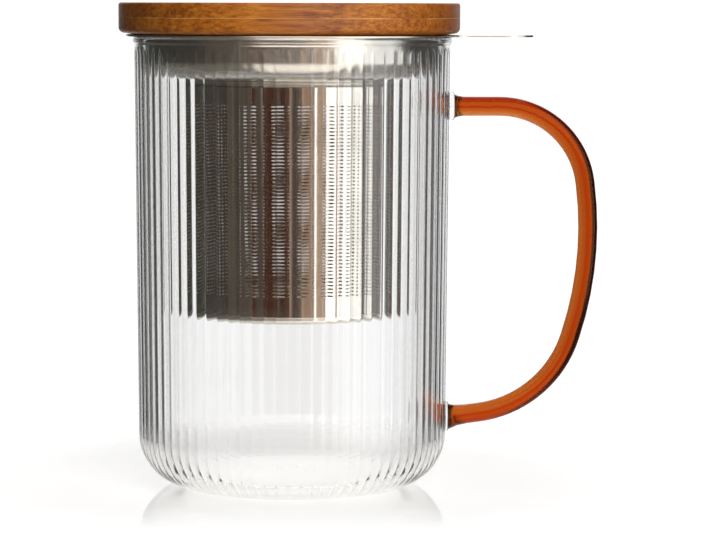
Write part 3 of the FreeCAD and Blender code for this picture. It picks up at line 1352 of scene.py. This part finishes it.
    def wall(self, mirror: bpy.types.Material, etched: bpy.types.Material) -> None:
        """Perforates a flat sheet, rolls it into thirds of a tube and closes its seam.

        Args:
            mirror: The steel of the sheet's faces.
            etched: The steel of the holes' edges.
        """
        columns = self.columns // len(self.wall_pieces)
        piece = self._field(self.wall_pieces[0], columns, self.rows)
        length = columns * self.pitch
        low = self.bottom_z + self.base_height
        top = self.step_z - self.neck_bend_r - self.beads * self.bead_pitch
        first = self.holes_low + self.row_pitch / 2
        half_row = self.row_pitch / 2
        piece.select(lambda p: p.z < 0.1 * self.row_pitch - half_row)
        piece.grow((0, 0, low - first + half_row))
        field_top = (self.rows - 0.5) * self.row_pitch
        piece.select(lambda p: p.z > field_top - 0.1 * self.row_pitch)
        piece.grow((0, 0, top - first - field_top))
        edge = length - 0.6 * self.pitch
        piece.weigh("end", lambda p: 1.0 if p.x > edge else 0.0)
        bpy.ops.mesh.select_all(action="SELECT")
        bpy.ops.transform.translate(value=((self.pitch - length) / 2, 0, first))
        share = length / self.filter_r
        piece.modifier("SIMPLE_DEFORM", deform_method="BEND", deform_axis="Z", angle=share)
        bpy.ops.mesh.select_all(action="SELECT")
        bpy.ops.transform.translate(value=(0, -self.filter_r, 0))
        blank = self.seam_width / self.filter_r
        piece.turn(self.seam_azimuth + math.pi / 2 + (blank + share) / 2)
        thirds = [piece]
        for name in self.wall_pieces[1:]:
            third = thirds[-1].copy(name)
            third.turn(share)
            thirds.append(third)
        bpy.ops.mesh.select_all(action="DESELECT")
        bpy.ops.object.vertex_group_set_active(group="end")
        bpy.ops.object.vertex_group_select()
        bpy.ops.mesh.spin(steps=4, angle=-blank, center=(0, 0, 0), axis=(0, 0, 1))
        for third in thirds:
            third.open().merged()
            third.face_out(lambda face: face.normal.xy.dot(face.center.xy))
            third.modifier(
                "SOLIDIFY", thickness=self.filter_skin, offset=-1.0, material_offset_rim=1
            )
            obj = third.finish(Body.INFUSER, ["infuser_wall"], Slot.STEEL, mirror, 35.0)
            obj.data.materials.append(etched)

    def base(self, bright: bpy.types.Material) -> bpy.types.Object:
        """Makes the pressed floor: a turned edge and lip round a disc of holes.

        Args:
            bright: The floor's steel.

        Returns:
            The floor.
        """
        outer_r = self.filter_r
        inner_r = self.neck_r - self.filter_sheet
        joint_z = self.bottom_z + self.base_height
        lip_z = joint_z + self.lip
        floor_z = self.bottom_z + self.filter_sheet
        field_r = inner_r - 2 * self.base_edge_r
        corners = [
            (field_r, self.bottom_z, 0),
            (outer_r, self.bottom_z, self.base_edge_r),
            (outer_r, joint_z, self.base_joint_r),
            (self.neck_r, joint_z, 0),
            (self.neck_r, lip_z, 0),
            (inner_r, lip_z, 0),
            (inner_r, floor_z, self.base_edge_r - self.filter_sheet / 2),
            (field_r, floor_z, 0),
        ]
        edge = Piece.turned("steel_filter_floor", corners, self.floor_sides)
        floor = self._floor_field(field_r)
        bpy.ops.object.mode_set(mode="OBJECT")
        edge.join([floor])
        edge.merged(HAIR)
        return edge.finish(Body.INFUSER, ["infuser_base"], Slot.STEEL, bright, 35.0)

    def _floor_field(self, field_r: float) -> Piece:
        """Makes the floor's disc of holes, as thick as the sheet, open at its outer edge.

        Args:
            field_r: The disc's radius.

        Returns:
            The disc, in edit mode.
        """
        last_r = field_r - self.pitch
        across = 2 * math.floor(last_r / self.pitch) + 1
        rows = 2 * math.floor(last_r / self.row_pitch) + 1
        middle = Vector(((across - 1) / 2 * self.pitch, 0, (rows - 1) / 2 * self.row_pitch))
        piece = self._field("floor_field", across, rows)
        piece.select(lambda p: (self._cell_centre(p) - middle).length > last_r, faces=True)
        bpy.ops.mesh.delete(type="FACE")
        bpy.ops.mesh.select_all(action="DESELECT")
        bpy.ops.mesh.primitive_circle_add(
            vertices=self.floor_sides, radius=field_r, location=middle, rotation=(math.pi / 2, 0, 0)
        )
        bpy.ops.object.mode_set(mode="OBJECT")
        mesh = piece.obj.data
        uses = dict.fromkeys((edge.key for edge in mesh.edges), 0)
        for face in mesh.polygons:
            for key in face.edge_keys:
                uses[key] += 1
        bpy.ops.object.mode_set(mode="EDIT")
        bpy.ops.mesh.select_mode(type="EDGE")
        bpy.ops.mesh.select_all(action="DESELECT")
        bpy.ops.object.mode_set(mode="OBJECT")
        for edge in mesh.edges:
            ends = [mesh.vertices[index].co for index in edge.vertices]
            outline = uses[edge.key] < 2 and not all(self._in_hole(end) for end in ends)
            edge.select = outline or uses[edge.key] == 0
        bpy.ops.object.mode_set(mode="EDIT")
        bpy.ops.mesh.fill(use_beauty=True)
        bpy.ops.mesh.select_all(action="SELECT")
        bpy.ops.transform.translate(value=-middle)
        piece.turn(math.pi / 2, "X")
        bpy.ops.transform.translate(value=(0, 0, self.bottom_z))
        piece.merged(HAIR)
        piece.face_out(lambda face: -face.normal.z)
        piece.modifier("SOLIDIFY", thickness=self.filter_sheet, offset=-1.0)
        low = self.bottom_z + 0.1 * self.filter_sheet
        high = self.bottom_z + 0.9 * self.filter_sheet
        side = field_r - MARGIN
        piece.select(lambda p: p.xy.length > side and low < p.z < high, faces=True)
        bpy.ops.mesh.delete(type="FACE")
        return piece

    def _cell_centre(self, place: Vector) -> Vector:
        """Finds the cell of a flat field that a point lies in.

        Args:
            place: The point.

        Returns:
            The cell's middle.
        """
        across = round(place.x / self.pitch)
        up = round(place.z / self.row_pitch)
        return Vector((across * self.pitch, 0, up * self.row_pitch))


@dataclass
class Lid:
    """The loose bamboo lid: two boards, a plug below them and the plug's soft ring."""

    mug: RibbedMug
    infuser: Infuser
    radius: float = 45.8 * MM
    upper_ply: float = 4.0 * MM
    lower_ply: float = 4.5 * MM
    top_edge_r: float = 0.7 * MM
    low_edge_r: float = 1.5 * MM
    seat_r: float = 41.3 * MM
    under_rise: float = 0.6 * MM
    plug_depth: float = 7.5 * MM
    plug_inset: float = 1.6 * MM
    plug_edge_r: float = 0.6 * MM
    seal_height: float = 2.6 * MM
    seal_groove: float = 0.8 * MM
    seal_edge_r: float = 1.17 * MM
    seal_drop: float = 2.4 * MM
    seal_play: float = 1.0 * MM
    side_gap: float = 0.2 * MM
    joint_r: float = 0.08 * MM
    sides: int = 288

    @property
    def low_z(self) -> float:
        """Height of the flange that the lid lies on."""
        return self.mug.height + self.infuser.sheet

    @property
    def seal_r(self) -> float:
        """The soft ring's outer radius."""
        return self.infuser.dish_r - self.infuser.sheet - self.seal_play

    def _place(self, piece: Piece) -> Piece:
        """Moves a turned piece from the mug's axis to the lid's.

        Args:
            piece: The piece.

        Returns:
            The same piece, all selected.
        """
        bpy.ops.mesh.select_all(action="SELECT")
        bpy.ops.transform.translate(value=(self.side_gap - self.seal_play, 0, 0))
        return piece

    def _disc(self, name: str, corners: Sequence[Corner]) -> Piece:
        """Turns one of the lid's pieces and moves it to its place."""
        return self._place(Piece.turned(name, corners, self.sides, 12.0))

    def build(self, bamboo: bpy.types.Material, soft: bpy.types.Material) -> None:
        """Makes the two boards, the plug and its ring.

        Args:
            bamboo: The boards' and the plug's finish.
            soft: The ring's.
        """
        low = self.low_z
        joint = low + self.lower_ply
        top = joint + self.upper_ply
        upper = [
            (0, joint, 0),
            (self.radius, joint, self.joint_r),
            (self.radius, top, self.top_edge_r),
            (0, top, 0),
        ]
        lower = [
            (0, low, 0),
            (self.seat_r, low, 0),
            (self.radius, low + self.under_rise, self.low_edge_r),
            (self.radius, joint, self.joint_r),
            (0, joint, 0),
        ]
        upper_board = self._disc("upper_board", upper)
        upper_board.finish(Body.LID, ["lid_upper_ply"], Slot.BAMBOO, bamboo)
        lower_board = self._disc("lower_board", lower)
        lower_board.finish(Body.LID, ["lid_lower_ply"], Slot.BAMBOO, bamboo)
        plug_r = self.seal_r - self.plug_inset
        plug_low = low - self.plug_depth
        seal_top = low - self.seal_drop
        seal_low = seal_top - self.seal_height
        groove_r = plug_r - self.seal_groove
        outline = [
            (0, plug_low, 0),
            (plug_r, plug_low, self.plug_edge_r),
            (plug_r, seal_low, 0),
            (groove_r, seal_low, 0),
            (groove_r, seal_top, 0),
            (plug_r, seal_top, 0),
            (plug_r, low, 0),
            (0, low, 0),
        ]
        plug_disc = self._disc("plug_disc", outline)
        plug_disc.finish(Body.LID, ["lid_plug"], Slot.BAMBOO, bamboo)
        ring = [
            (groove_r, seal_top, 0),
            (groove_r, seal_low, 0),
            (self.seal_r, seal_low, self.seal_edge_r),
            (self.seal_r, seal_top, self.seal_edge_r),
            (groove_r, seal_top, 0),
        ]
        seal = self._disc("soft_ring", ring)
        seal.finish(Body.LID, ["lid_seal"], Slot.SILICONE, soft, 60.0)


@dataclass
class Light:
    """The light that comes from each direction, for every kind of ray.

    What is seen through glass, mirrored or matt gets light of its own, as in no real room. The
    levels were set until the picture came near the photograph.

    Azimuths and rises are in degrees. Azimuth 0 is on the camera's side of the mug, 90 on the
    handle's side and 180 behind the mug. A fade is the place where it starts and the place
    where it is complete.
    """

    # What polished faces mirror: levels at azimuths, joined by straight fades.
    # White up to -162, a dark wall, a dim corner, a brown screen, a narrow strip, a tan screen,
    # a soft box, a white wall, a second dark wall and white again.
    panels: Sequence[tuple[float, Colour]] = (
        (-162.0, (1.05, 1.05, 1.05)),
        (-154.0, (0.05, 0.05, 0.05)),
        (-112.0, (0.055, 0.057, 0.048)),
        (-70.0, (0.075, 0.065, 0.060)),
        (-66.0, (0.13, 0.11, 0.085)),
        (-38.0, (0.105, 0.09, 0.08)),
        (-37.0, (0.90, 0.85, 0.75)),
        (-35.5, (0.085, 0.030, 0.016)),
        (-8.0, (0.070, 0.030, 0.018)),
        (-6.0, (0.10, 0.075, 0.065)),
        (10.5, (0.10, 0.075, 0.065)),
        (12.0, (0.75, 0.60, 0.55)),
        (13.5, (0.45, 0.29, 0.21)),
        (33.0, (0.62, 0.44, 0.32)),
        (36.0, (2.4, 2.4, 2.35)),
        (54.0, (2.4, 2.4, 2.35)),
        (57.0, (1.6, 1.62, 1.6)),
        (87.0, (1.5, 1.52, 1.5)),
        (91.0, (0.09, 0.085, 0.085)),
        (149.0, (0.06, 0.06, 0.06)),
        (157.0, (1.05, 1.05, 1.05)),
    )
    front_left: Fade = (-34.0, -20.0)
    front_right: Fade = (66.0, 50.0)
    front_above: Fade = (3.0, 7.0)
    front_colour: Colour = (2.5, 2.33, 2.1)
    low_from: Fade = (-12.0, -20.0)
    low_aside: Fade = (150.0, 140.0)
    low_colour: Colour = (0.22, 0.21, 0.18)
    low_front_colour: Colour = (1.9, 1.78, 1.62)
    ceiling_from: Fade = (48.0, 60.0)
    ceiling_colour: Colour = (0.06, 0.055, 0.05)
    skylight_from: Fade = (66.0, 76.0)
    skylight_colour: Colour = (1.3, 1.28, 1.25)
    backdrop_aside: Fade = (164.0, 156.0)
    backdrop_level: float = 1.0
    backdrop_side_level: float = 1.45
    side_from: Fade = (60.0, 120.0)
    side_level: float = 0.75
    flag_near: Fade = (96.0, 104.0)
    flag_far: Fade = (147.0, 143.0)
    flag_right_shift: float = 10.0
    flag_rise: Fade = (18.0, 13.0)
    flag_level: float = 0.065
    rod_dim_aside: Fade = (172.0, 150.0)
    rod_dim_level: float = 0.8
    rod_dark_from: Fade = (-174.0, -160.0)
    rod_dark_to: Fade = (-40.0, -70.0)
    rod_dark_level: float = 0.05
    rod_faces: float = 2.5
    lamp_left: Fade = (-2.0, 10.0)
    lamp_right: Fade = (44.0, 32.0)
    lamp_top: Fade = (60.0, 40.0)
    lamp_low: Fade = (-35.0, -15.0)
    lamp_colour: Colour = (3.8, 3.72, 3.6)
    lamp_around: float = 0.035
    overhead_from: Fade = (58.0, 68.0)
    overhead_colour: Colour = (0.9, 0.88, 0.84)
    seen_level: float = 1.15

    def build(self) -> None:
        """Makes the world."""
        world = bpy.data.worlds.new("studio")
        bpy.context.scene.world = world
        world.use_nodes = True
        shader = Shader(world.node_tree)
        x, y, z = shader.axes(shader.node("ShaderNodeTexCoord", output="Generated"))
        azimuth = x.math("ARCTAN2", y * -1.0) * (180 / math.pi)
        rise = z.math("ARCSINE") * (180 / math.pi)
        light = self._transmitted(shader, azimuth, rise)
        mirrored = self._depth(shader, "Glossy Depth").math("GREATER_THAN", 0.5)
        light = shader.mix(mirrored, light, self._mirrored(shader, azimuth, rise))
        scattered = self._depth(shader, "Diffuse Depth").math("GREATER_THAN", 0.5)
        light = shader.mix(scattered, light, self._scattered(shader, azimuth, rise))
        light = shader.mix(self._depth(shader, "Is Camera Ray"), light, (self.seen_level,) * 3)
        background = shader.node("ShaderNodeBackground", inputs={"Color": light, "Strength": 1.0})
        shader.output(background, kind="World")
        world.cycles.sampling_method = "NONE"

    @staticmethod
    def _depth(shader: Shader, kind: str) -> Value:
        """What the world knows of a ray's past."""
        return shader.node("ShaderNodeLightPath", output=kind)

    def _mirrored(self, shader: Shader, azimuth: Value, rise: Value) -> Value:
        """Works out what polished faces mirror: panels, a bright front and a dark ceiling.

        Args:
            shader: The world's shader.
            azimuth: The ray's azimuth.
            rise: Its rise above the horizon.

        Returns:
            The light's colour.
        """
        stops = [(place / 360 + 0.5, colour) for place, colour in self.panels]
        room = shader.ramp(azimuth / 360 + 0.5, stops)
        front = azimuth.band(*self.front_left) * azimuth.band(*self.front_right)
        low = rise.band(*self.low_from) * azimuth.math("ABSOLUTE").band(*self.low_aside)
        fore = shader.mix(front, self.low_colour, self.low_front_colour)
        room = shader.mix(low, room, fore)
        room = shader.mix(rise.band(*self.front_above) * front, room, self.front_colour)
        room = shader.mix(rise.band(*self.ceiling_from), room, self.ceiling_colour)
        return shader.mix(rise.band(*self.skylight_from), room, self.skylight_colour)

    def _transmitted(self, shader: Shader, azimuth: Value, rise: Value) -> Value:
        """Works out what is seen through glass: a white backdrop between two dark flags.

        Args:
            shader: The world's shader.
            azimuth: The ray's azimuth.
            rise: Its rise above the horizon.

        Returns:
            The light's colour.
        """
        aside = azimuth.math("ABSOLUTE")
        right = azimuth.math("GREATER_THAN", 0.0)
        flag = aside.band(*self.flag_near)
        flag = flag * (aside + right * self.flag_right_shift).band(*self.flag_far)
        flag = flag * rise.math("ABSOLUTE").band(*self.flag_rise)
        plain = (self.backdrop_level,) * 3
        back = shader.mix(aside.band(*self.backdrop_aside), plain, (self.backdrop_side_level,) * 3)
        through = shader.mix(aside.band(*self.side_from), (self.side_level,) * 3, back)
        through = shader.mix(flag, through, (self.flag_level,) * 3)
        rod = shader.mix(aside.band(*self.rod_dim_aside), plain, (self.rod_dim_level,) * 3)
        dark = azimuth.band(*self.rod_dark_from) * azimuth.band(*self.rod_dark_to)
        rod = shader.mix(dark, rod, (self.rod_dark_level,) * 3)
        faces = self._depth(shader, "Transmission Depth")
        return shader.mix(faces.math("LESS_THAN", self.rod_faces), through, rod)

    def _scattered(self, shader: Shader, azimuth: Value, rise: Value) -> Value:
        """Works out what lights matt faces: a lamp to the front and a soft one overhead.

        Args:
            shader: The world's shader.
            azimuth: The ray's azimuth.
            rise: Its rise above the horizon.

        Returns:
            The light's colour.
        """
        front = azimuth.band(*self.lamp_left) * azimuth.band(*self.lamp_right)
        front = front * rise.band(*self.lamp_top) * rise.band(*self.lamp_low)
        lamp = shader.mix(front, (self.lamp_around,) * 3, self.lamp_colour)
        return shader.mix(rise.band(*self.overhead_from), lamp, self.overhead_colour)


@dataclass
class Studio:
    """The pale floor, the soft light and the camera at the photograph's angle."""

    eye: Sequence[float] = (17.75 * MM, -760.0 * MM, 130.0 * MM)
    pitch: float = math.radians(5.41)
    roll: float = math.radians(0.16)
    focal_px: float = 2820.0
    image_width: float = 716.0
    sensor: float = 36.0
    near_clip: float = 10.0 * MM
    table_r: float = 130.0 * MM
    edge_r: float = 55.0 * MM
    shine_y: float = 35.0 * MM
    plain_y: float = 88.0 * MM
    table_white: Colour = (0.90, 0.90, 0.895)
    table_cloud: Colour = (0.87, 0.87, 0.865)
    table_cloud_scale: float = 6.0
    glow_colour: Colour = (1.0, 0.995, 0.985)
    glow: float = 0.56
    plain_glow: float = 1.03
    polish_roughness: float = 0.02
    polish_ior: float = 1.7
    far_floor_half: float = 4.0
    far_floor_drop: float = 1.0 * MM
    far_floor_glow: float = 1.1

    def floor(self) -> None:
        """Makes the white table and the pale floor round it that only the camera sees."""
        clear_bench()
        bpy.ops.mesh.primitive_circle_add(vertices=96, radius=self.table_r, fill_type="NGON")
        table = Piece("table")
        bpy.ops.object.mode_set(mode="OBJECT")
        table.obj.data.materials.append(self._table_material())
        table.obj.visible_diffuse = False
        bpy.ops.mesh.primitive_plane_add(
            size=2 * self.far_floor_half, location=(0, 0, -self.far_floor_drop)
        )
        far = Piece("far_floor")
        bpy.ops.object.mode_set(mode="OBJECT")
        material, shader = new_material("far_floor")
        shader.output(self._shining(shader, (1.0, 1.0, 1.0), self.far_floor_glow))
        far.obj.data.materials.append(material)
        far.obj.visible_glossy = False
        far.obj.visible_transmission = False
        far.obj.visible_diffuse = False

    @staticmethod
    def _shining(shader: Shader, colour: Colour, strength: float) -> Value:
        """A surface that gives light of its own."""
        inputs = {"Color": (*colour, 1.0), "Strength": strength}
        return shader.node("ShaderNodeEmission", inputs=inputs)

    def _table_material(self) -> bpy.types.Material:
        """Makes white acrylic, polished near the mug and plain white further out.

        Returns:
            The material, which fades away towards the table's edge.
        """
        material, shader = new_material("white_table")
        place = shader.place()
        x, y, _ = shader.axes(place)
        away = (x * x + y * y) ** 0.5
        ahead = y * -1.0
        cloud = shader.noise(place, self.table_cloud_scale, 2.0)
        white = shader.mix(cloud, self.table_white, self.table_cloud)
        glow = self._shining(shader, self.glow_colour, self.glow)
        dull = shader.node("ShaderNodeBsdfDiffuse", inputs={"Color": white})
        lit = shader.node("ShaderNodeAddShader", inputs={0: glow, 1: dull})
        inputs = {"Color": (1.0, 1.0, 1.0, 1.0), "Roughness": self.polish_roughness}
        polish = shader.node("ShaderNodeBsdfGlossy", inputs=inputs)
        grazing = shader.node("ShaderNodeFresnel", inputs={"IOR": self.polish_ior})
        shine = ahead.band(self.plain_y, self.shine_y) * grazing
        near = shader.node("ShaderNodeMixShader", inputs={0: shine, 1: lit, 2: polish})
        plain = self._shining(shader, (1.0, 1.0, 1.0), self.plain_glow)
        inputs = {0: ahead.band(self.shine_y, self.plain_y), 1: near, 2: plain}
        top = shader.node("ShaderNodeMixShader", inputs=inputs)
        clear = shader.node("ShaderNodeBsdfTransparent")
        inputs = {0: away.band(self.edge_r, self.table_r), 1: top, 2: clear}
        shader.output(shader.node("ShaderNodeMixShader", inputs=inputs))
        return material

    def camera(self) -> None:
        """Sets the camera."""
        data = bpy.data.cameras.new("camera")
        data.sensor_width = self.sensor
        data.sensor_fit = "HORIZONTAL"
        data.lens = self.focal_px * self.sensor / self.image_width
        data.clip_start = self.near_clip
        camera = bpy.data.objects.new("camera", data)
        bpy.context.scene.collection.objects.link(camera)
        look = Matrix.Rotation(math.pi / 2 - self.pitch, 4, "X") @ Matrix.Rotation(self.roll, 4, "Z")
        camera.matrix_world = Matrix.Translation(self.eye) @ look
        bpy.context.scene.camera = camera

    def picture(self) -> None:
        """Sets how light is followed through the glass, and the view's contrast."""
        scene = bpy.context.scene
        scene.view_settings.view_transform = "Standard"
        scene.cycles.max_bounces = 32
        scene.cycles.transmission_bounces = 28
        scene.cycles.glossy_bounces = 10
        scene.cycles.diffuse_bounces = 3
        scene.cycles.transparent_max_bounces = 16
        scene.cycles.blur_glossy = 0.0
        scene.cycles.sample_clamp_indirect = 8.0
        scene.cycles.use_denoising = True

    def build(self) -> None:
        """Sets up the floor, the light and the camera."""
        self.floor()
        self.camera()
        Light().build()
        self.picture()


def main() -> None:
    """Builds every piece in order."""
    Studio().build()
    glass = ClearGlass().build()
    amber = AmberGlass().build()
    satin = Steel("satin_steel", (0.60, 0.58, 0.54), 0.22, 0.018 * MM, 6000.0).build()
    mirror = Steel(
        "mirror_steel", (0.66, 0.63, 0.58), 0.1, 0.001 * MM, 6000.0, upright=True
    ).build()
    etched = Steel("etched_steel", (0.82, 0.80, 0.77), 0.45, 0.001 * MM, 3000.0).build()
    bright = Steel("bright_steel", (0.80, 0.78, 0.73), 0.28, 0.002 * MM, 8000.0).build()
    mug = RibbedMug()
    body = mug.build(glass)
    Handle(mug).build(body, glass, amber)
    infuser = Infuser(mug)
    lid = Lid(mug, infuser)
    joint_z = lid.low_z + lid.lower_ply
    bamboo = Bamboo(
        "bamboo",
        pale=(0.78, 0.30, 0.040),
        gold=(0.57, 0.175, 0.018),
        brown=(0.25, 0.055, 0.006),
        glue=(0.98, 0.62, 0.25),
        joint_z=joint_z,
    ).build()
    infuser.dish(satin)
    infuser.wall(mirror, etched)
    infuser.base(bright)
    lid.build(bamboo, Silicone().build())


if __name__ == "__main__":
    logging.basicConfig(level=logging.INFO, format="%(name)s: %(message)s")
    main()
